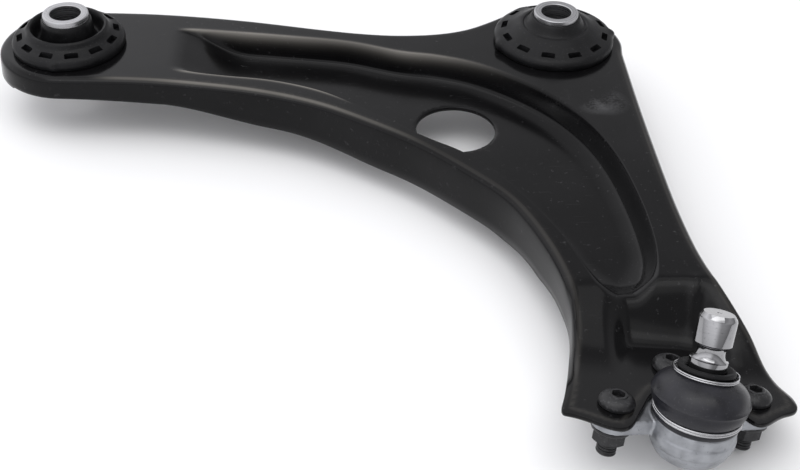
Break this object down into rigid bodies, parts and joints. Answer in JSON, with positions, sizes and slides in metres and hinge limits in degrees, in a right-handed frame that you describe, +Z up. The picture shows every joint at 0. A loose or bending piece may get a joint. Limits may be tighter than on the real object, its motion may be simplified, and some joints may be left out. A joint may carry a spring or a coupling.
{
  "type": "control arm",
  "caption": "Pressed steel suspension control arm with vertical rubber bushes at one side and a bolted ball joint whose stud tilts and spins.",
  "frame": {"origin": "centre of the arm's footprint, at the level of its lowest point", "axes": "+X runs from the rear bush to the front bush, +Z is up along the bushes' axes, and -Y points to the ball joint"},
  "size_m": [0.4312, 0.3914, 0.0818],
  "materials": {
    "coating": "glossy black dip coating over pressed steel",
    "bush_rubber": "moulded, matt black",
    "boot_rubber": "smooth, satin black",
    "collar_rubber": "matt black",
    "sleeve_steel": "turned, zinc plated",
    "cage_steel": "drawn steel, phosphated",
    "cast_aluminium": "fine sand cast, matt silver",
    "polished_steel": "ground and bright",
    "bearing_plastic": "natural acetal",
    "ring_steel": "bright spring steel",
    "black_fastener": "black zinc"
  },
  "bodies": {
    "arm": {"arm_shell": "coating", "front_bush_cage": "cage_steel", "rear_bush_cage": "cage_steel", "front_bush_rubber": "bush_rubber", "rear_bush_rubber": "bush_rubber", "ball_joint_housing": "cast_aluminium", "ball_seat": "bearing_plastic", "seat_ring": "ring_steel", "lower_clamp_ring": "ring_steel", "left_bolt": "black_fastener", "left_nut": "black_fastener", "right_bolt": "black_fastener", "right_nut": "black_fastener", "rear_bolt": "black_fastener", "rear_nut": "black_fastener"},
    "front_sleeve": {"front_bush_sleeve": "sleeve_steel"},
    "rear_sleeve": {"rear_bush_sleeve": "sleeve_steel"},
    "boot": {"dust_boot": "boot_rubber"},
    "boot_top": {"stud_collar": "collar_rubber", "upper_clamp_ring": "ring_steel"},
    "stud": {"ball_stud": "polished_steel"}
  },
  "joints": [
    {"name": "front_bush_rock", "type": "hinge", "parent": "arm", "child": "front_sleeve", "pos_m": [0.14133, 0.14924, 0.04177], "axis": [1, 0, 0], "range_deg": [-12, 12], "stiffness_Nm_per_rad": 3, "deforming": ["front_bush_rubber"]},
    {"name": "rear_bush_rock", "type": "hinge", "parent": "arm", "child": "rear_sleeve", "pos_m": [-0.17117, 0.14924, 0.04177], "axis": [1, 0, 0], "range_deg": [-12, 12], "stiffness_Nm_per_rad": 3, "deforming": ["rear_bush_rubber"]},
    {"name": "stud_tilt_x", "type": "hinge", "parent": "arm", "child": "boot", "pos_m": [0.16113, -0.17505, 0.03027], "axis": [0.9945, -0.0217, -0.1022], "range_deg": [-7, 33], "deforming": ["dust_boot"]},
    {"name": "stud_tilt_y", "type": "hinge", "parent": "boot", "child": "boot_top", "pos_m": [0.16113, -0.17505, 0.03027], "axis": [-0.0235, 0.9066, -0.4214], "range_deg": [-23.6, 16.4], "deforming": ["dust_boot"]},
    {"name": "stud_spin", "type": "hinge", "parent": "boot_top", "child": "stud", "pos_m": [0.16113, -0.17505, 0.03027], "axis": [0.1641, 0.4193, 0.8929], "continuous": true}
  ],
  "couplings": [
    {"joint": "rear_bush_rock", "follows": "front_bush_rock", "ratio": 1}
  ]
}
